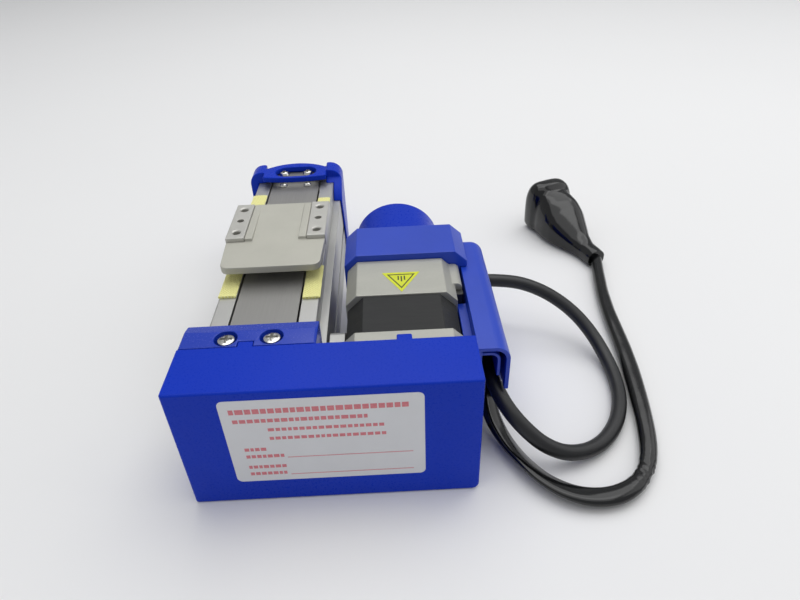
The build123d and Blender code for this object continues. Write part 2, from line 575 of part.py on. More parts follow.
LUG_FRONT, LUG_RIGHT, LUG_TOP = -40.0, 76.3, 46.6
PLUG_IN, PLUG_FRONT, PLUG_Z = 71.0, -43.6, (34.0, 43.8)
with BuildPart() as motor_rear_cap:
    motor_prism(MOTOR_HALF, 4.2, STACK_END, REAR_CAP_END)
    motor_prism(18.6, 3.0, REAR_CAP_END, -14.0)
    rod_y(MOTOR_X, AXIS_Z, 13.0, STACK_END, -46.0, Mode.SUBTRACT)
    rod_y(MOTOR_X, AXIS_Z, 6.5, -46.0, -41.0, Mode.SUBTRACT)
    rod_y(MOTOR_X, AXIS_Z, 4.0, -41.0, -38.0, Mode.SUBTRACT)
    rod_y(MOTOR_X, AXIS_Z, 15.0, -38.0, -14.0, Mode.SUBTRACT)
    block(PLUG_IN, LUG_RIGHT, LUG_FRONT, REAR_CAP_END, 33.0, LUG_TOP)
    fillet(motor_rear_cap.edges().filter_by(Axis.Y).group_by(Axis.X)[-1].group_by(Axis.Z)[-1], 2.2)
    block(PLUG_IN, 74.0, PLUG_FRONT, LUG_FRONT, PLUG_Z[0], PLUG_Z[1], Mode.SUBTRACT)
write(motor_rear_cap, "motor_rear_cap")

with BuildPart() as motor_plug:
    block(PLUG_IN, 76.5, PLUG_FRONT + 0.1, LUG_FRONT - 0.1, PLUG_Z[0] + 0.1, PLUG_Z[1] - 0.1)
    fillet(motor_plug.edges().filter_by(Axis.Z).group_by(Axis.X)[-1], 0.8)
write(motor_plug, "motor_plug")

with BuildPart() as motor_shaft:
    rod_y(MOTOR_X, AXIS_Z, 2.5, PULLEY_FRONT, 6.0)
write(motor_shaft, "motor_shaft")

ring("motor_rotor", MOTOR_X, -69.5, -51.5, 11.9, 2.5)
with BuildPart() as motor_bearings:
    for y0, y1 in ((-78.9, -74.0), (-46.0, -41.0)):
        rod_y(MOTOR_X, AXIS_Z, 6.5, y0, y1)
    rod_y(MOTOR_X, AXIS_Z, 2.5 + RUN, -80, -40, Mode.SUBTRACT)
write(motor_bearings, "motor_bearings")
ring("encoder_disc", MOTOR_X, 1.0, 2.0, 13.0, 2.5)

with BuildPart() as encoder_board:
    rod_y(MOTOR_X, AXIS_Z, 17.5, 7.5, 9.1)
    block(MOTOR_X + 8, MOTOR_X + 15, 3.5, 7.5, AXIS_Z - 4, AXIS_Z + 4)
write(encoder_board, "encoder_board")

# ---------------------------------------------------------------- rear cover, encoder cap
REAR_LEFT, REAR_RIGHT = 30.0, 80.0
REAR_BOTTOM = 0.6
with BuildPart() as rear_cover:
    with BuildSketch(Plane.XZ.offset(-REAR_COVER_END)):
        with BuildLine():
            Polyline(
                (REAR_LEFT, REAR_BOTTOM), (77.3, REAR_BOTTOM), (77.3, DUCT_TOP + 0.1),
                (REAR_RIGHT, DUCT_TOP + 0.1), (REAR_RIGHT, COVER_TOP - 4.6), (REAR_RIGHT - 5.0, COVER_TOP),
                (REAR_LEFT + 5.0, COVER_TOP), (REAR_LEFT, COVER_TOP - 4.6), close=True,
            )
        make_face()
    extrude(amount=REAR_COVER_END + 25.5)
    motor_prism(18.9, 3.1, -26.0, -13.5, Mode.SUBTRACT)
    rod_y(MOTOR_X, AXIS_Z, 16.0, -13.5, -1.0, Mode.SUBTRACT)
write(rear_cover, "rear_cover")

with BuildPart() as encoder_cap:
    rod_y(MOTOR_X, AXIS_Z, ENCODER_CAP_R, REAR_COVER_END, ENCODER_CAP_END)
    fillet(encoder_cap.edges().filter_by(GeomType.CIRCLE).group_by(Axis.Y)[-1], 1.2)
    rod_y(MOTOR_X, AXIS_Z, ENCODER_CAP_R - 1.8, REAR_COVER_END - 1, ENCODER_CAP_END - 1.8, Mode.SUBTRACT)
write(encoder_cap, "encoder_cap")

# ---------------------------------------------------------------- cable duct
NOTCH_TOP, FLOOR_NOTCH_END, SIDE_NOTCH_END = 25.0, -60.0, -66.0
UPPER_VOID_END, LOWER_VOID_TOP = -19.0, 31.0
DUCT_REAR_ROUND = 4.5


def duct_section(wall, radius):
    """The duct's section, shrunk all round by a wall thickness."""
    left, right = DUCT_LEFT + wall, DUCT_RIGHT - wall
    bottom, top = DUCT_BOTTOM + wall, DUCT_TOP - wall
    with BuildLine() as outline:
        FilletPolyline((left, top), (right, top), (right, bottom), radius=radius)
        Polyline((right, bottom), (left, bottom), (left, top))
    make_face(outline.edges())


with BuildPart() as cable_duct:
    with BuildSketch(Plane.XZ.offset(-DUCT_BACK)) as shell:
        duct_section(0, 5.5)
    extrude(shell.sketch, amount=DUCT_BACK - DUCT_FRONT)
    rear_outline = cable_duct.edges().group_by(Axis.Y)[-1].sort_by(Axis.X)
    fillet(rear_outline[1:], DUCT_REAR_ROUND)
    with BuildSketch(Plane.XZ.offset(-UPPER_VOID_END)) as void:
        duct_section(SHEET, 5.5 - SHEET)
    extrude(void.sketch, amount=UPPER_VOID_END - DUCT_FRONT, mode=Mode.SUBTRACT)
    block(DUCT_LEFT + SHEET, DUCT_RIGHT - 2.8, UPPER_VOID_END, DUCT_BACK - 3.0,
          DUCT_BOTTOM + 3.0, LOWER_VOID_TOP, Mode.SUBTRACT)
    block(DUCT_LEFT + SHEET, DUCT_RIGHT - SHEET, DUCT_FRONT - 1, FLOOR_NOTCH_END, 0, NOTCH_TOP, Mode.SUBTRACT)
    block(DUCT_RIGHT - SHEET, DUCT_RIGHT + 1, DUCT_FRONT - 1, SIDE_NOTCH_END, 0, NOTCH_TOP, Mode.SUBTRACT)
    rod_x(-7.5, 25.0, 5.3, DUCT_RIGHT - 4, DUCT_RIGHT + 1, Mode.SUBTRACT)
    block(74.0, DUCT_LEFT, DUCT_FRONT + 1, PLUG_FRONT, 36.8, 39.4)
write(cable_duct, "cable_duct")

LINER_T = 1.2
LINER_TOP, LINER_RIGHT, LINER_BOTTOM = 41.0, 85.9, 30.2
with BuildPart() as duct_liner:
    with BuildSketch(Plane.XZ.offset(50.5)):
        with BuildLine():
            FilletPolyline(
                (DUCT_LEFT + SHEET, LINER_TOP), (LINER_RIGHT, LINER_TOP), (LINER_RIGHT, LINER_BOTTOM),
                radius=3.6,
            )
            Line((LINER_RIGHT, LINER_BOTTOM), (LINER_RIGHT - LINER_T, LINER_BOTTOM))
            FilletPolyline(
                (LINER_RIGHT - LINER_T, LINER_BOTTOM), (LINER_RIGHT - LINER_T, LINER_TOP - LINER_T),
                (DUCT_LEFT + SHEET, LINER_TOP - LINER_T), radius=2.4,
            )
            Line((DUCT_LEFT + SHEET, LINER_TOP - LINER_T), (DUCT_LEFT + SHEET, LINER_TOP))
        make_face()
    extrude(amount=25.0)
write(duct_liner, "duct_liner")

with BuildPart() as junction_block:
    block(79.3, 87.1, -50.0, -38.0, 7.7, 32.0)
    fillet(junction_block.edges().filter_by(Axis.X), 0.8)
write(junction_block, "junction_block")

with BuildPart() as cable_grommet:
    rod_x(-7.5, 25.0, 5.2, DUCT_RIGHT - 2.8, 91.4)
    fillet(cable_grommet.edges().filter_by(GeomType.CIRCLE).group_by(Axis.X)[-1], 1.2)
write(cable_grommet, "cable_grommet")

# ---------------------------------------------------------------- labels and packing strips
with BuildPart() as caution_mark:
    with BuildSketch(Plane.XY.offset(AXIS_Z + MOTOR_HALF)):
        with BuildLine():
            Polyline((45.3, -35.2), (60.0, -35.2), (52.6, -48.3), close=True)
        make_face()
    extrude(amount=0.12)
write(caution_mark, "caution_mark")


STRIP_IN, STRIP_OUT, STRIP_Z = 13.4, 20.4, (RAIL_Z + 0.05, RAIL_Z + 1.2)
with BuildPart() as packing_strips_front:
    block(-STRIP_OUT, -STRIP_IN, -35.0, -14.5, *STRIP_Z)
    block(STRIP_IN, STRIP_OUT, -38.0, -14.5, *STRIP_Z)
write(packing_strips_front, "packing_strips_front")

with BuildPart() as packing_strips_rear:
    block(-STRIP_OUT, -STRIP_IN, 30.0, 55.5, *STRIP_Z)
    block(STRIP_IN, STRIP_OUT - 1, 30.0, 49.8, *STRIP_Z)
write(packing_strips_rear, "packing_strips_rear")


# ---------------------------------------------------------------- cords
def corner_radii(points, share=0.45):
    """The largest arc at each corner that its two runs leave room for."""
    vectors = [Vector(*p) for p in points]
    radii = []
    for before, corner, after in zip(vectors, vectors[1:], vectors[2:]):
        run_in, run_out = corner - before, after - corner
        half_turn = radians(run_in.get_angle(run_out)) / 2
        radii.append(share * min(run_in.length, run_out.length) / tan(half_turn))
    return radii


def cord(name, points, radius):
    """A plain tube along straight runs joined by tangent arcs."""
    radii = corner_radii(points)
    with BuildPart() as tube:
        with BuildLine() as path:
            FilletPolyline(*points, radius=radii)
        route = path.wires()[0]
        with BuildSketch(Plane(origin=route @ 0, z_dir=route % 0)):
            Circle(radius)
        sweep(path=route, transition=Transition.ROUND)
    print(name, "length", round(route.length, 1), "radii", [round(r, 1) for r in radii])
    print(name, "volume", round(tube.part.volume), "section x length", round(pi * radius**2 * route.length))
    write(tube, name)


MOTOR_CABLE = [
    (91.4, -7.5, 25.0), (101.5, -8.0, 24.7), (111.5, -10.5, 22.9), (121.0, -14.5, 19.2),
    (129.5, -20.5, 14.2), (135.8, -29.0, 8.6), (139.2, -40.0, 4.2), (139.6, -52.5, 2.95),
    (137.2, -65.6, 2.95), (131.2, -78.2, 2.95), (121.6, -87.8, 3.2), (110.2, -92.0, 5.4),
    (101.0, -91.0, 9.2), (93.8, -86.6, 14.2), (88.0, -80.4, 19.2), (84.6, -71.8, 23.2),
    (83.4, -61.6, 25.4), (83.2, -50.0, 26.2),
]
LEAD = [
    (83.2, -50.0, 12.4), (83.2, -58.5, 12.0), (83.6, -67.0, 9.4), (85.4, -75.5, 5.6),
    (89.2, -84.5, 3.3), (94.2, -93.6, 3.05), (100.4, -102.0, 3.05), (109.4, -108.0, 3.05),
    (120.4, -109.2, 3.05), (130.2, -104.8, 3.05), (137.0, -96.6, 3.05), (140.9, -86.0, 3.05),
    (143.6, -73.5, 3.05), (146.0, -59.0, 3.05), (148.0, -43.5, 3.05), (149.5, -27.5, 3.05),
    (150.2, -11.5, 3.05), (151.8, 4.0, 3.05), (154.4, 20.0, 3.2), (158.0, 38.0, 4.0),
]
cord("motor_cable", MOTOR_CABLE, MOTOR_CABLE_R)
cord("connector_lead", LEAD, LEAD_R)

# ---------------------------------------------------------------- connector on the lead
NECK = Vector(158.0, 38.0, 4.0)
FAR_END = Vector(140.6, 86.8, 4.0)
BOOT_DIR = (FAR_END - NECK).normalized()
BOOT_LEN = (FAR_END - NECK).length
BOOT_STATIONS = [
    (0.0, 7.2, 7.2), (12.0, 10.4, 9.4), (25.0, 19.0, 14.5), (34.0, 23.0, 19.0), (42.0, 22.4, 23.6),
    (BOOT_LEN, 21.4, 24.8),
]
BOOT_UNDER = 0.4
HOUSING = (15.6, 10.0, 16.0)


def boot_plane(along, centre_z):
    """A plane across the boot, at a distance from its neck."""
    centre = NECK + BOOT_DIR * along
    return Plane(origin=(centre.X, centre.Y, centre_z), x_dir=(BOOT_DIR.Y, -BOOT_DIR.X, 0), z_dir=BOOT_DIR)


HOUSING_PLANE = boot_plane(41.0, 9.4)
with BuildPart() as connector_boot:
    for along, width, height in BOOT_STATIONS:
        with BuildSketch(boot_plane(along, BOOT_UNDER + height / 2)):
            RectangleRounded(width, height, 0.49 * min(width, height) if along < 20 else 3.4)
    loft(ruled=True)
    with Locations(HOUSING_PLANE):
        Box(*[size + 0.4 for size in HOUSING], mode=Mode.SUBTRACT)
write(connector_boot, "connector_boot")

with BuildPart() as connector_housing:
    with Locations(HOUSING_PLANE):
        Box(*HOUSING)
write(connector_housing, "connector_housing")
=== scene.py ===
import json
import math

import bmesh
import bpy
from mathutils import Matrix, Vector, noise

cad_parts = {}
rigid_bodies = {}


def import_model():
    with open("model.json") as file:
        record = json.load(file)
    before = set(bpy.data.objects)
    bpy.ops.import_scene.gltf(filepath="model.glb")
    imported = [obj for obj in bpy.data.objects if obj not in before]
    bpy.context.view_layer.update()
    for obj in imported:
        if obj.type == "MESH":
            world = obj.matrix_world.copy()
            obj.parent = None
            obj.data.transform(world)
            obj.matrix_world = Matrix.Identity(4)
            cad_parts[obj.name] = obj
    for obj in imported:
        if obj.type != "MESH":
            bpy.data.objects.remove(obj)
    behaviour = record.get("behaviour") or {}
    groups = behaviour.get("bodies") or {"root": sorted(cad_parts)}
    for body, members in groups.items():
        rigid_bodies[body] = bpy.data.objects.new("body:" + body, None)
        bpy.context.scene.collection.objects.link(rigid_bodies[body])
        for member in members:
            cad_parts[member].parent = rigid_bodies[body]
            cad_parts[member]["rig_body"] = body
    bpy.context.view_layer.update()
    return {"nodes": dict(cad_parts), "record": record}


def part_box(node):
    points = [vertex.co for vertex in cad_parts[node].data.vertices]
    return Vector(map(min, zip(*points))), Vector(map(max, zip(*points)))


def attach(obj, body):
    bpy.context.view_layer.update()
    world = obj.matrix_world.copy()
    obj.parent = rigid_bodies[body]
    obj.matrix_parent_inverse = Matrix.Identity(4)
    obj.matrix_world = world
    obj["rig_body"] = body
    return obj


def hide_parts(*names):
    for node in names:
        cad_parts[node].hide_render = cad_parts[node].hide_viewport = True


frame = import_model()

scene = bpy.context.scene
MM = 0.001
FLOOR_Z = -0.0001


# ---------------------------------------------------------------- helpers
def srgb(red, green, blue):
    """A colour given as 0 to 255 screen values, in linear light."""
    values = [v / 255 for v in (red, green, blue)]
    return tuple(v / 12.92 if v <= 0.04045 else ((v + 0.055) / 1.055) ** 2.4 for v in values)


def body_of(node):
    """The CAD body that a node rides on."""
    return frame["nodes"][node]["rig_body"]


def add_object(name, data):
    made = bpy.data.objects.new(name, data)
    scene.collection.objects.link(made)
    return made


def shade(mesh, angle=32):
    """Smooth shading with creases at sharp edges."""
    for polygon in mesh.polygons:
        polygon.use_smooth = True
    mesh.set_sharp_from_angle(angle=math.radians(angle))


def from_bmesh(name, bm, material, angle=32):
    """A new object from a bmesh, which is freed."""
    mesh = bpy.data.meshes.new(name)
    bm.to_mesh(mesh)
    bm.free()
    mesh.materials.append(material)
    shade(mesh, angle)
    return add_object(name, mesh)


def place(piece, body, slot, *nodes):
    """Rides a piece on its body and hides what it stands for."""
    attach(piece, body)
    if nodes:
        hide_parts(*nodes)
    return piece


# ---------------------------------------------------------------- camera
camera_data = bpy.data.cameras.new("camera")
camera_data.sensor_width = 36
camera_data.lens = 27.6
camera_data.clip_start = 0.01
camera = add_object("camera", camera_data)
camera.location = (0.0497, -0.2359, 0.1813)
camera.rotation_euler = [math.radians(a) for a in (54.14, 1.96, -2.05)]
scene.camera = camera


# ---------------------------------------------------------------- materials
class Nodes:
    """A small wrapper that adds and links shader nodes."""

    def __init__(self, name):
        self.material = bpy.data.materials.new(name)
        self.material.use_nodes = True
        self.tree = self.material.node_tree
        self.shader = self.tree.nodes["Principled BSDF"]

    def add(self, kind, **settings):
        node = self.tree.nodes.new(kind)
        for key, value in settings.items():
            setattr(node, key, value)
        return node

    def link(self, source, target):
        self.tree.links.new(source, target)

    def coordinates(self, stretch=(1, 1, 1), turn=(0, 0, 0)):
        """Object coordinates, which are metres in the row frame, stretched along each axis."""
        place_node = self.add("ShaderNodeMapping")
        place_node.inputs["Scale"].default_value = stretch
        place_node.inputs["Rotation"].default_value = turn
        self.link(self.add("ShaderNodeTexCoord").outputs["Object"], place_node.inputs["Vector"])
        return place_node.outputs["Vector"]

    def noise(self, vector, scale, detail=3.0, rough=0.55):
        node = self.add("ShaderNodeTexNoise")
        node.inputs["Scale"].default_value = scale
        node.inputs["Detail"].default_value = detail
        node.inputs["Roughness"].default_value = rough
        self.link(vector, node.inputs["Vector"])
        return node.outputs["Fac"]

    def ramp(self, value, low, high, to_low=0.0, to_high=1.0):
        node = self.add("ShaderNodeMapRange")
        for key, number in (("From Min", low), ("From Max", high), ("To Min", to_low), ("To Max", to_high)):
            node.inputs[key].default_value = number
        self.link(value, node.inputs["Value"])
        return node.outputs["Result"]

    def mix(self, factor, first, second):
        """A colour between two colours, each a tuple or an output."""
        node = self.add("ShaderNodeMix", data_type="RGBA")
        self.link(factor, node.inputs["Factor"])
        for key, value in (("A", first), ("B", second)):
            socket = [s for s in node.inputs if s.name == key and s.type == "RGBA"][0]
            if isinstance(value, tuple):
                socket.default_value = (*value, 1.0)
            else:
                self.link(value, socket)
        return [s for s in node.outputs if s.type == "RGBA"][0]

    def math(self, operation, first, second=0.0):
        node = self.add("ShaderNodeMath", operation=operation)
        for socket, value in zip(node.inputs, (first, second)):
            if isinstance(value, (int, float)):
                socket.default_value = value
            else:
                self.link(value, socket)
        return node.outputs[0]

    def bump(self, height, depth, before=None):
        """A bump whose full height is depth metres."""
        node = self.add("ShaderNodeBump")
        node.inputs["Distance"].default_value = depth
        node.inputs["Strength"].default_value = 1.0
        self.link(height, node.inputs["Height"])
        if before is not None:
            self.link(before, node.inputs["Normal"])
        return node.outputs["Normal"]


def surface(name, colour, rough, metal=0.0, tint=0.10, blotch=60, grain=1500, depth=0.00001,
            stretch=(1, 1, 1), rough_spread=0.06, **shader):
    """A material with slow colour drift, changing roughness and a fine grain in its normal."""
    n = Nodes(name)
    vector = n.coordinates(stretch)
    drift = n.noise(vector, blotch, 4.0)
    fine = n.noise(vector, grain, 3.0, 0.6)
    low = tuple(c * (1 - tint) for c in colour)
    high = tuple(min(1.0, c * (1 + tint)) for c in colour)
    n.link(n.mix(n.ramp(drift, 0.3, 0.7), low, high), n.shader.inputs["Base Color"])
    roughness = n.ramp(fine, 0.3, 0.7, rough - rough_spread, rough + rough_spread)
    n.link(roughness, n.shader.inputs["Roughness"])
    n.link(n.bump(fine, depth), n.shader.inputs["Normal"])
    n.shader.inputs["Metallic"].default_value = metal
    for key, value in shader.items():
        n.shader.inputs[key.replace("_", " ")].default_value = value
    return n.material


blue_paint = surface("blue_paint", (0.005, 0.034, 0.45), 0.3, tint=0.04, blotch=25, grain=1400,
                     depth=0.000004, Specular_IOR_Level=0.1)
blue_gloss = surface("blue_gloss", (0.006, 0.036, 0.40), 0.24, tint=0.03, blotch=25, grain=1400,
                     depth=0.000002, Specular_IOR_Level=0.42)
blue_plastic = surface("blue_plastic", (0.011, 0.050, 0.46), 0.34, tint=0.05, blotch=40, grain=2200,
                       depth=0.000008, Specular_IOR_Level=0.5)
anodised = surface("anodised_aluminium", srgb(188, 188, 185), 0.46, 0.9, 0.05, 30, 2600, 0.000006,
                   (1, 0.08, 1))
stainless = surface("stainless_sheet", srgb(147, 146, 143), 0.52, 0.6, 0.05, 30, 1600, 0.000005,
                    (1.0, 0.05, 1))
grey_plate = surface("grey_plate", srgb(186, 185, 175), 0.62, 0.5, 0.04, 50, 3200, 0.000012)
pad_steel = surface("pad_steel", srgb(196, 195, 189), 0.42, 0.6, 0.05, 80, 1500, 0.000006, (0.2, 1, 1))
steel = surface("bearing_steel", srgb(180, 180, 180), 0.25, 1.0, 0.06, 90, 1200, 0.000004)
screw_steel = surface("screw_steel", srgb(205, 204, 200), 0.2, 1.0, 0.08, 400, 2600, 0.000006)
pulley_metal = surface("pulley_aluminium", srgb(178, 178, 176), 0.35, 1.0, 0.05, 90, 1800, 0.000006)
cast_metal = surface("cast_motor_cap", srgb(176, 176, 168), 0.55, 0.7, 0.05, 120, 2400, 0.000022,
                     (0.35, 1, 1))
black_plastic = surface("black_plastic", srgb(26, 26, 27), 0.45, 0.0, 0.2, 120, 2400, 0.000015)
black_rubber = surface("black_rubber", srgb(30, 30, 31), 0.7, 0.0, 0.15, 120, 2400, 0.00002)
belt_rubber = surface("belt_rubber", srgb(28, 28, 28), 0.75, 0.0, 0.15, 120, 2400, 0.00002)
beige_metal = surface("beige_plate", srgb(150, 149, 143), 0.5, 1.0, 0.05, 60, 2600, 0.00001)
rotor_steel = surface("rotor_steel", srgb(120, 120, 122), 0.35, 1.0, 0.06, 90, 1800, 0.00001)
disc_material = surface("encoder_disc", srgb(150, 150, 155), 0.2, 0.6, 0.05, 90, 1800, 0.000004)
board_material = surface("circuit_board", srgb(30, 92, 52), 0.45, 0.0, 0.12, 200, 1800, 0.00001)
white_plastic = surface("white_plastic", srgb(214, 211, 198), 0.42, 0.0, 0.05, 120, 2400, 0.00001)


def lamination_material():
    """Blackened steel sheets pressed into a pack: fine dark lines across the motor's axis."""
    n = Nodes("lamination")
    vector = n.coordinates()
    split = n.add("ShaderNodeSeparateXYZ")
    n.link(vector, split.inputs[0])
    sheets_per_metre = 2000.0
    sheet = n.math("FRACT", n.math("MULTIPLY", split.outputs["Y"], sheets_per_metre))
    groove = n.math("PINGPONG", sheet, 0.5)
    uneven = n.noise(n.coordinates((0.15, 1, 0.15)), 900, 2.0)
    n.link(n.mix(uneven, srgb(20, 21, 21), srgb(36, 37, 37)), n.shader.inputs["Base Color"])
    n.link(n.ramp(uneven, 0.3, 0.7, 0.5, 0.62), n.shader.inputs["Roughness"])
    n.link(n.bump(n.ramp(groove, 0.0, 0.2), 0.00002), n.shader.inputs["Normal"])
    n.shader.inputs["Metallic"].default_value = 0.2
    return n.material


lamination = lamination_material()


def strip_material():
    """Yellow packing strip, embossed with rows of small diamonds, with painted shade darkening the grooves
    between them.
    """
    n = Nodes("yellow_foam")
    vector = n.coordinates(turn=(0, 0, math.radians(45)))
    split = n.add("ShaderNodeSeparateXYZ")
    n.link(vector, split.inputs[0])
    diamond = 0.9 * MM
    pitch = math.pi / diamond
    waves = [n.math("SINE", n.math("MULTIPLY", split.outputs[axis], pitch)) for axis in ("X", "Y")]
    dimple = n.math("ABSOLUTE", n.math("MULTIPLY", waves[0], waves[1]))
    # The colour follows the emboss height: the darker yellow in the grooves is painted shade, and the paler
    # yellow on the raised diamonds is painted light.
    n.link(n.mix(n.ramp(dimple, 0.0, 0.6), srgb(228, 221, 98), srgb(255, 253, 188)),
           n.shader.inputs["Base Color"])
    fine = n.noise(n.coordinates(), 3000, 2.0)
    n.link(n.ramp(fine, 0.3, 0.7, 0.72, 0.86), n.shader.inputs["Roughness"])
    n.link(n.bump(dimple, 0.00026), n.shader.inputs["Normal"])
    n.shader.inputs["Sheen Weight"].default_value = 0.15
    return n.material


yellow_foam = strip_material()
label_paper = surface("label_paper", srgb(214, 215, 218), 0.55, tint=0.02, blotch=80, grain=2600,
                      depth=0.000008)
label_red = surface("label_red", srgb(206, 118, 126), 0.5, tint=0.12, blotch=1400, grain=2600,
                    depth=0.000004)
label_line = surface("label_line", srgb(206, 134, 142), 0.5, tint=0.1, blotch=900, grain=2600,
                     depth=0.000004)
sticker_yellow = surface("yellow_sticker", srgb(206, 214, 30), 0.4, tint=0.05, blotch=300, grain=1800,
                         depth=0.000005)
sticker_dark = surface("sticker_dark", srgb(62, 66, 20), 0.45, tint=0.1, blotch=200, grain=1800,
                       depth=0.000004)
cable_jacket = surface("cable_jacket", srgb(22, 23, 25), 0.42, tint=0.15, blotch=160, grain=1700,
                       depth=0.000012, Specular_IOR_Level=0.5)
sleeve = surface("black_sleeve", srgb(9, 10, 11), 0.16, tint=0.2, blotch=130, grain=700, depth=0.000004,
                 rough_spread=0.04, Specular_IOR_Level=0.5)
bag_black = surface("bag_black", srgb(7, 8, 9), 0.13, tint=0.2, blotch=90, grain=500, depth=0.000003,
                    rough_spread=0.03, Specular_IOR_Level=0.5)

# ---------------------------------------------------------------- cords
MOTOR_CABLE = [
    (91.4, -7.5, 25.0), (101.5, -8.0, 24.7), (111.5, -10.5, 22.9), (121.0, -14.5, 19.2),
    (129.5, -20.5, 14.2), (135.8, -29.0, 8.6), (139.2, -40.0, 4.2), (139.6, -52.5, 2.95),
    (137.2, -65.6, 2.95), (131.2, -78.2, 2.95), (121.6, -87.8, 3.2), (110.2, -92.0, 5.4),
    (101.0, -91.0, 9.2), (93.8, -86.6, 14.2), (88.0, -80.4, 19.2), (84.6, -71.8, 23.2),
    (83.4, -61.6, 25.4), (83.2, -50.0, 26.2),
]
LEAD = [
    (83.2, -50.0, 12.4), (83.2, -58.5, 12.0), (83.6, -67.0, 9.4), (85.4, -75.5, 5.6),
    (89.2, -84.5, 3.3), (94.2, -93.6, 3.05), (100.4, -102.0, 3.05), (109.4, -108.0, 3.05),
    (120.4, -109.2, 3.05), (130.2, -104.8, 3.05), (137.0, -96.6, 3.05), (140.9, -86.0, 3.05),
    (143.6, -73.5, 3.05), (146.0, -59.0, 3.05), (148.0, -43.5, 3.05), (149.5, -27.5, 3.05),
    (150.2, -11.5, 3.05), (151.8, 4.0, 3.05), (154.4, 20.0, 3.2), (158.0, 38.0, 4.0),
]
MOTOR_CABLE_R, LEAD_R = 0.0029, 0.0030


def route_curve(name, points, radius=0.0):
    """A smooth open curve with the route's points as its control points."""
    curve = bpy.data.curves.new(name, "CURVE")
    curve.dimensions = "3D"
    spline = curve.splines.new("NURBS")
    spline.points.add(len(points) - 1)
    for target, point in zip(spline.points, points):
        target.co = (*(c * MM for c in point), 1.0)
    spline.order_u = 3
    spline.use_endpoint_u = True
    curve.resolution_u = 16
    curve.bevel_depth = radius
    curve.bevel_resolution = 8
    curve.use_fill_caps = radius > 0
    return add_object(name, curve)


def route_line(points):
    """The points along the route's smooth curve."""
    bare = route_curve("route", points)
    mesh = bpy.data.meshes.new_from_object(bare)
    line = [v.co.copy() for v in mesh.vertices]
    bpy.data.meshes.remove(mesh)
    bpy.data.objects.remove(bare)
    return line


motor_cable = route_curve("motor_cable_jacket", MOTOR_CABLE, MOTOR_CABLE_R)
motor_cable.data.materials.append(cable_jacket)
place(motor_cable, "frame", "cable_jacket", "motor_cable")


def swell(share, middle, spread):
    """A smooth hump of 1 at the middle, along the cord's length."""
    return math.exp(-((share - middle) / spread) ** 2)


def sleeve_tube(line):
    """The soft sleeve over the lead: flat and wide by the duct, pinched at the bend, then a little flat."""
    lengths = [0.0]
    for a, b in zip(line, line[1:]):
        lengths.append(lengths[-1] + (b - a).length)
    total = lengths[-1]
    sides = 40
    bm = bmesh.new()
    rings = []
    for i, centre in enumerate(line):
        tangent = (line[min(i + 1, len(line) - 1)] - line[max(i - 1, 0)]).normalized()
        side = tangent.cross(Vector((0, 0, 1))).normalized()
        up = side.cross(tangent).normalized()
        share = lengths[i] / total
        flat = swell(share, 0.22, 0.14)
        loose = swell(share, 0.64, 0.17)
        pinch = swell(share, 0.405, 0.030)
        twist = math.radians(38 * swell(share, 0.18, 0.12))
        wide = 1.0 + 0.58 * flat + 0.22 * loose - 0.16 * pinch
        tall = 1.0 - 0.38 * flat - 0.12 * loose - 0.20 * pinch
        ring = []
        for k in range(sides):
            a = 2 * math.pi * k / sides
            groove = 0.10 * flat * math.exp(-((math.sin(a) - 1) / 0.16) ** 2)
            crinkle = pinch * 0.13 * noise.noise(Vector((share * 300, 1.6 * math.cos(a), 1.6 * math.sin(a))))
            drift = 0.03 * noise.noise(Vector((share * 26, 1.2 * math.cos(a), 1.2 * math.sin(a) + 5)))
            scale = 0.97 - groove + crinkle + drift
            x, y = LEAD_R * wide * math.cos(a) * scale, LEAD_R * tall * math.sin(a) * scale
            x, y = x * math.cos(twist) - y * math.sin(twist), x * math.sin(twist) + y * math.cos(twist)
            point = centre + side * x + up * y
            point.z = max(point.z, 0.0001)
            ring.append(bm.verts.new(point))
        rings.append(ring)
    for a, b in zip(rings, rings[1:]):
        for k in range(sides):
            bm.faces.new((a[k], a[(k + 1) % sides], b[(k + 1) % sides], b[k]))
    bm.faces.new(rings[0][::-1])
    bm.faces.new(rings[-1])
    bmesh.ops.recalc_face_normals(bm, faces=bm.faces)
    return from_bmesh("lead_sleeve", bm, sleeve, 60)


lead_line = route_line(LEAD)
lead = sleeve_tube(lead_line)
place(lead, "frame", "black_sleeve", "connector_lead")


# ---------------------------------------------------------------- connector bag
NECK = Vector((158.0, 38.0, 4.0)) * MM
FAR_END = Vector((140.6, 86.8, 4.0)) * MM
BAG_AXIS = (FAR_END - NECK).normalized()
BAG_SIDE = Vector((BAG_AXIS.y, -BAG_AXIS.x, 0))
# At each distance from the bag's neck: half width, height (all in mm), how square the section is.
BAG_STATIONS = [
    (0.0, 5.0, 8.8, 2.0), (2.0, 5.2, 9.2, 2.0), (9.0, 5.2, 9.4, 2.1), (15.0, 6.6, 11.6, 2.4),
    (21.0, 9.2, 15.6, 2.7), (28.0, 11.8, 20.0, 3.0), (34.0, 12.6, 23.4, 3.1), (40.0, 12.4, 25.2, 3.2),
    (43.5, 11.9, 25.6, 3.3), (45.5, 12.9, 28.2, 3.8), (50.0, 13.0, 28.8, 4.0), (53.0, 12.6, 28.2, 3.8),
    (54.0, 11.8, 26.8, 3.4),
]
BAG_LENGTH = BAG_STATIONS[-1][0]
# Past the crease the top is wider. Its sideways slope fades out over the second pair of lengths.
BAG_CREASE = 44.0
BAG_LEVEL_FROM, BAG_LEVEL_OVER = 30.0, 12.0


def bag_row(along):
    """The values of BAG_STATIONS at a distance from the neck, along straight lines between them."""
    for a, b in zip(BAG_STATIONS, BAG_STATIONS[1:]):
        if along <= b[0]:
            break
    t = (along - a[0]) / (b[0] - a[0])
    return [a[k] + (b[k] - a[k]) * t for k in (1, 2, 3)]


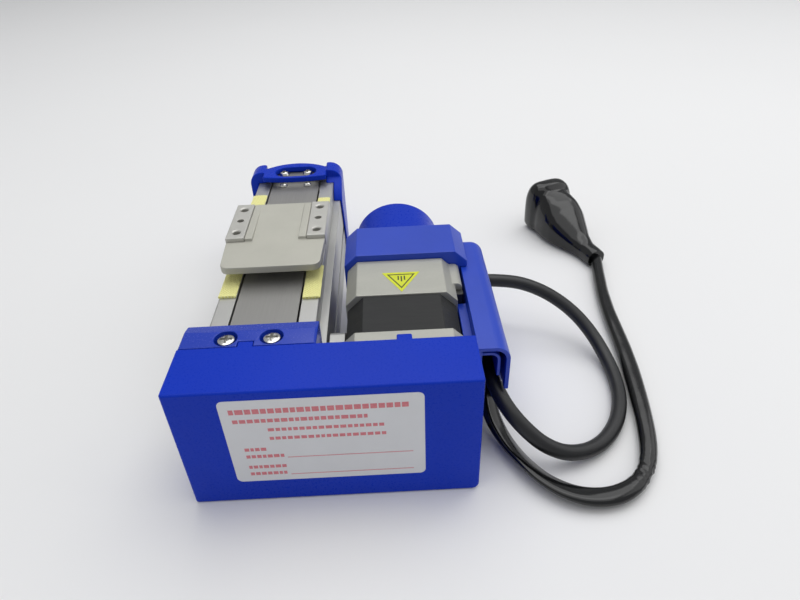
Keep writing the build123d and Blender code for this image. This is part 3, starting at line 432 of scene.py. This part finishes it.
def bag_section(along):
    """Half width, height and squareness of the bag, smoothed over a few millimetres."""
    spread = min(1.5, along, BAG_LENGTH - along)
    rows = [bag_row(along + spread * k / 2) for k in (-2, -1, 0, 1, 2)]
    return [sum(row[k] for row in rows) / len(rows) for k in range(3)]


def bag_shape():
    """The black bag shrunk over the connector: a ridge along its top, a crease before its far end."""
    sides, steps = 72, 90
    bm = bmesh.new()
    rings = []
    for i in range(steps + 1):
        along = BAG_LENGTH * i / steps
        half, height, power = bag_section(along)
        centre = NECK + BAG_AXIS * along * MM
        grown = min(1.0, along / 16)
        levelled = min(1.0, max(0.0, (along - BAG_LEVEL_FROM) / BAG_LEVEL_OVER))
        slope = 0.17 * grown * (1 - levelled)
        ring = []
        for k in range(sides):
            angle = 2 * math.pi * k / sides
            c, s = math.cos(angle), math.sin(angle)
            square = power if s > 0 else power * 1.8
            x = half * math.copysign(abs(c) ** (2 / square), c)
            z = height / 2 * math.copysign(abs(s) ** (2 / square), s)
            if z > 0:
                z *= 1 + slope * (x / half - 0.5)
                x *= 1 - (0.36 if along < BAG_CREASE else 0.14) * grown * (z / height)
            ripple = noise.noise(Vector((along * 0.09, x * 0.12, z * 0.12 + 4)))
            grow = 0.98 + 0.02 * ripple * grown
            point = centre + BAG_SIDE * x * grow * MM
            point.z = 0.0004 + (height / 2 + z * grow) * MM * 0.99
            ring.append(bm.verts.new(point))
        rings.append(ring)
    for a, b in zip(rings, rings[1:]):
        for k in range(sides):
            bm.faces.new((a[k], a[(k + 1) % sides], b[(k + 1) % sides], b[k]))
    bm.faces.new(rings[0][::-1])
    last = rings[-1]
    for inset, shift in ((0.95, 0.5), (0.8, 0.5), (0.4, 0.2)):
        centre = sum((v.co for v in rings[-1]), Vector()) / sides
        new = [bm.verts.new(centre + (v.co - centre) * inset + BAG_AXIS * shift * MM) for v in rings[-1]]
        for k in range(sides):
            bm.faces.new((last[k], last[(k + 1) % sides], new[(k + 1) % sides], new[k]))
        last = new
    bm.faces.new(last)
    bmesh.ops.recalc_face_normals(bm, faces=bm.faces)
    return from_bmesh("connector_bag", bm, bag_black, 70)


bag = place(bag_shape(), "frame", "black_sleeve", "connector_boot", "connector_housing")


# ---------------------------------------------------------------- CAD pieces with softened edges
WELD_DISTANCE = 2e-6
FLAT_ANGLE = math.radians(0.4)


def finished(node, slot, material, width=0.25, segments=2, angle=30):
    """A copy of a CAD node with its sharp edges rounded by a small width, which stands for it."""
    bm = bmesh.new()
    bm.from_mesh(frame["nodes"][node].data)
    bmesh.ops.remove_doubles(bm, verts=bm.verts, dist=WELD_DISTANCE)
    bmesh.ops.dissolve_limit(bm, angle_limit=FLAT_ANGLE, verts=bm.verts, edges=bm.edges)
    sharp = [e for e in bm.edges if e.is_manifold and e.calc_face_angle(0) > math.radians(angle)]
    bmesh.ops.bevel(bm, geom=sharp, offset=width * MM, segments=segments, profile=0.5, affect="EDGES",
                    clamp_overlap=False, loop_slide=True, material=-1)
    bmesh.ops.triangulate(bm, faces=[f for f in bm.faces if len(f.verts) > 4])
    piece = from_bmesh(node + "_finish", bm, material, 38)
    weighted = piece.modifiers.new("weighted", "WEIGHTED_NORMAL")
    weighted.keep_sharp = True
    weighted.weight = 100
    return place(piece, body_of(node), slot, node)


for node, slot, material, width in (
    ("belt_cover", "blue_paint", blue_paint, 0.5),
    ("near_cover", "blue_paint", blue_gloss, 0.3),
    ("end_cap", "blue_paint", blue_paint, 0.5),
    ("rear_cover", "blue_plastic", blue_plastic, 0.35),
    ("cable_duct", "blue_plastic", blue_plastic, 0.3),
    ("duct_liner", "blue_plastic", blue_plastic, 0.2),
    ("slider_cover", "grey_plate", grey_plate, 0.3),
    ("mount_pad_left", "pad_steel", pad_steel, 0.15),
    ("mount_pad_right", "pad_steel", pad_steel, 0.15),
    ("slider_table", "grey_plate", grey_plate, 0.25),
    ("side_wall_left", "anodised_aluminium", anodised, 0.2),
    ("side_wall_right", "anodised_aluminium", anodised, 0.2),
    ("base_plate", "anodised_aluminium", anodised, 0.25),
    ("motor_front_cap", "cast_motor_cap", cast_metal, 0.35),
    ("motor_rear_cap", "cast_motor_cap", cast_metal, 0.35),
    ("motor_stack", "lamination", lamination, 0.15),
    ("motor_plug", "black_plastic", black_plastic, 0.3),
    ("cover_clamp", "beige_plate", beige_metal, 0.2),
    ("motor_bracket", "anodised_aluminium", anodised, 0.3),
):
    finished(node, slot, material, width)

# ---------------------------------------------------------------- packing strips
RAIL_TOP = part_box("side_wall_left")[1][2]


def add_strip(bm, x0, x1, y0, y1, rolled):
    """One soft strip on a rail: a wavy sheet, thicker where its front edge is folded under."""
    across, step = 8, 0.8 * MM
    rows = []
    count = round((y1 - y0) / step)
    for i in range(count + 1):
        y = y0 + (y1 - y0) * i / count
        roll = 0.3 * math.exp(-((y - y0) / (1.4 * MM)) ** 2) if rolled else 0.0
        top, under = [], []
        for k in range(across + 1):
            share = k / across
            x = x0 + (x1 - x0) * share
            wave = 0.10 * noise.noise(Vector((x * 220, y * 160, 0.4)))
            edge = 0.16 * MM * noise.noise(Vector((y * 240, 3.0 * share, 1.7))) * (2 * share - 1) ** 3
            rounded = 0.3 * (2 * share - 1) ** 6
            height = RAIL_TOP + (0.72 + roll + wave - rounded) * MM
            top.append(bm.verts.new((x + edge, y, height)))
            under.append(bm.verts.new((x + edge, y, RAIL_TOP + 0.06 * MM)))
        rows.append(top + under[::-1])
    for a, b in zip(rows, rows[1:]):
        for k in range(len(a)):
            bm.faces.new((a[k], a[(k + 1) % len(a)], b[(k + 1) % len(a)], b[k]))
    bm.faces.new(rows[0][::-1])
    bm.faces.new(rows[-1])


def packing(node, strips):
    """The strips that stand for one CAD node."""
    bm = bmesh.new()
    for x0, x1, y0, y1, rolled in strips:
        add_strip(bm, x0 * MM, x1 * MM, y0 * MM, y1 * MM, rolled)
    bmesh.ops.recalc_face_normals(bm, faces=bm.faces)
    place(from_bmesh(node + "_soft", bm, yellow_foam, 50), "frame", "yellow_foam", node)


packing("packing_strips_front", [(-20.4, -13.4, -35.0, -14.5, True), (13.4, 20.4, -38.0, -14.5, True)])
packing("packing_strips_rear", [(-20.4, -13.4, 30.0, 55.5, False), (13.4, 19.4, 30.0, 49.8, False)])

# ---------------------------------------------------------------- printing
PRINT_T = 0.00003


def print_plate(bm, corners, lift):
    """A very thin raised plate with the given corners, lift being its thickness as a vector."""
    low = [bm.verts.new(c) for c in corners]
    high = [bm.verts.new(Vector(c) + lift) for c in corners]
    count = len(corners)
    bm.faces.new(low[::-1])
    bm.faces.new(high)
    for k in range(count):
        bm.faces.new((low[k], low[(k + 1) % count], high[(k + 1) % count], high[k]))


def label_rows(name, rows, material):
    """Plain bars on the label, given in mm from its top left corner: start, end, middle, height."""
    (left, front, _), (_, _, top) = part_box("front_label")
    bm = bmesh.new()
    for start, end, middle, height in rows:
        x0, x1 = left + start * MM, left + end * MM
        z0, z1 = top - (middle + height / 2) * MM, top - (middle - height / 2) * MM
        corners = [(x0, front, z0), (x1, front, z0), (x1, front, z1), (x0, front, z1)]
        print_plate(bm, corners, Vector((0, -PRINT_T, 0)))
    bmesh.ops.recalc_face_normals(bm, faces=bm.faces)
    place(from_bmesh(name, bm, material, 30), "frame", "label_paper")


def dashes(start, end, middle, height, word=4.2, gap=0.9):
    """A row of bars of uneven length that stands for a line of small print."""
    rows = []
    at = start
    while at < end - 1:
        length = word * (1 + 0.5 * noise.noise(Vector((at * 0.9, middle, 0.3))))
        rows.append((at, min(end, at + length), middle, height))
        at += length + gap
    return rows


label_rows("label_print", dashes(3, 60, 4.8, 2.1, 2.0, 0.45) + dashes(3.5, 46, 9.0, 1.6, 1.8, 0.45)
           + dashes(14, 51, 13.2, 1.4, 1.6, 0.5) + dashes(14, 51.5, 17.2, 1.4, 1.6, 0.5)
           + dashes(5, 12.5, 22.2, 1.5, 1.5, 0.4) + dashes(5, 17.5, 25.6, 1.5, 1.5, 0.4)
           + dashes(5, 17.5, 30.8, 1.5, 1.5, 0.4) + dashes(5, 17.5, 34.2, 1.5, 1.5, 0.4), label_red)
label_rows("label_lines", [(18.5, 60, 26.6, 0.35), (18.5, 60, 35.2, 0.35)], label_line)


def sticker_marks():
    """A dark outline inside the caution triangle, and three plain strokes."""
    (left, front, _), (right, back, top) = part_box("caution_mark")
    middle, centre_y = (left + right) / 2, back - (back - front) * 0.36
    outline = [Vector((left, back, top)), Vector((right, back, top)), Vector((middle, front, top))]
    centre = Vector((middle, centre_y, top))
    bm = bmesh.new()
    outer = [centre + (c - centre) * 0.74 for c in outline]
    inner = [centre + (c - centre) * 0.62 for c in outline]
    for k in range(3):
        corners = [outer[k], outer[(k + 1) % 3], inner[(k + 1) % 3], inner[k]]
        print_plate(bm, corners, Vector((0, 0, PRINT_T)))
    for shift, low, high in ((-1.1, -0.6, 2.2), (0.1, -1.6, 2.0), (1.3, -0.6, 2.2)):
        x, half = middle + shift * MM, 0.28 * MM
        y0, y1 = centre_y + low * MM, centre_y + high * MM
        print_plate(bm, [Vector((x - half, y0, top)), Vector((x + half, y0, top)),
                         Vector((x + half, y1, top)), Vector((x - half, y1, top))], Vector((0, 0, PRINT_T)))
    bmesh.ops.recalc_face_normals(bm, faces=bm.faces)
    place(from_bmesh("sticker_marks", bm, sticker_dark, 30), "frame", "yellow_sticker")


sticker_marks()

# ---------------------------------------------------------------- CAD nodes that stay
KEPT = {
    "anodised_aluminium": anodised, "bearing_steel": steel, "screw_steel": screw_steel,
    "black_rubber": black_rubber, "stainless_sheet": stainless, "grey_plate": grey_plate,
    "blue_paint": blue_paint, "label_paper": label_paper, "pulley_aluminium": pulley_metal,
    "belt_rubber": belt_rubber, "beige_plate": beige_metal, "pad_steel": pad_steel,
    "cast_motor_cap": cast_metal, "lamination": lamination, "black_plastic": black_plastic,
    "rotor_steel": rotor_steel, "encoder_disc": disc_material, "circuit_board": board_material,
    "blue_plastic": blue_plastic, "white_plastic": white_plastic, "yellow_sticker": sticker_yellow,
    "yellow_foam": yellow_foam, "cable_jacket": cable_jacket, "black_sleeve": sleeve,
}
slot_of = {entry["node"]: entry["material_slot"] for entry in frame["record"]["subparts"]}
for name, node in frame["nodes"].items():
    if not node.hide_render:
        node.data.materials.clear()
        node.data.materials.append(KEPT[slot_of[name]])


# ---------------------------------------------------------------- floor and lights
def floor():
    """A pale seamless floor that rises into a backdrop far behind the object."""
    bm = bmesh.new()
    rows = []
    for y, z in [(-3.0, 0.0), (-1.0, 0.0), (0.0, 0.0), (1.0, 0.0), (2.2, 0.0), (2.7, 0.08), (3.1, 0.35),
                 (3.3, 0.8), (3.4, 2.4)]:
        rows.append([bm.verts.new((x, y, FLOOR_Z + z)) for x in (-4.0, -1.0, 0.0, 1.0, 4.0)])
    for a, b in zip(rows, rows[1:]):
        for k in range(4):
            bm.faces.new((a[k], a[k + 1], b[k + 1], b[k]))
    n = Nodes("floor")
    drift = n.noise(n.coordinates(), 3.0)
    n.link(n.mix(drift, (0.80, 0.80, 0.80), (0.83, 0.83, 0.83)), n.shader.inputs["Base Color"])
    n.shader.inputs["Roughness"].default_value = 0.6
    n.shader.inputs["Specular IOR Level"].default_value = 0.25
    made = from_bmesh("floor", bm, n.material, 60)


def area_light(name, place_at, aim, size, power, colour=(1, 1, 1)):
    data = bpy.data.lights.new(name, "AREA")
    data.shape = "RECTANGLE"
    data.size, data.size_y = size
    data.energy = power
    data.color = colour
    lamp = add_object(name, data)
    lamp.location = place_at
    lamp.rotation_euler = (Vector(aim) - Vector(place_at)).to_track_quat("-Z", "Y").to_euler()


floor()
scene.view_settings.view_transform = "Standard"
world = bpy.data.worlds.new("studio")
scene.world = world
world.use_nodes = True
world.node_tree.nodes["Background"].inputs["Color"].default_value = (0.97, 0.98, 1.0, 1)
world.node_tree.nodes["Background"].inputs["Strength"].default_value = 0.465
area_light("key", (0.20, 0.45, 1.10), (0.05, 0.0, 0.0), (1.2, 1.0), 6.1)
area_light("top", (0.05, -0.15, 1.2), (0.05, 0.0, 0.0), (1.3, 1.0), 3.8)
area_light("side", (1.1, 0.15, 0.75), (0.05, 0.0, 0.0), (1.1, 1.0), 2.8)
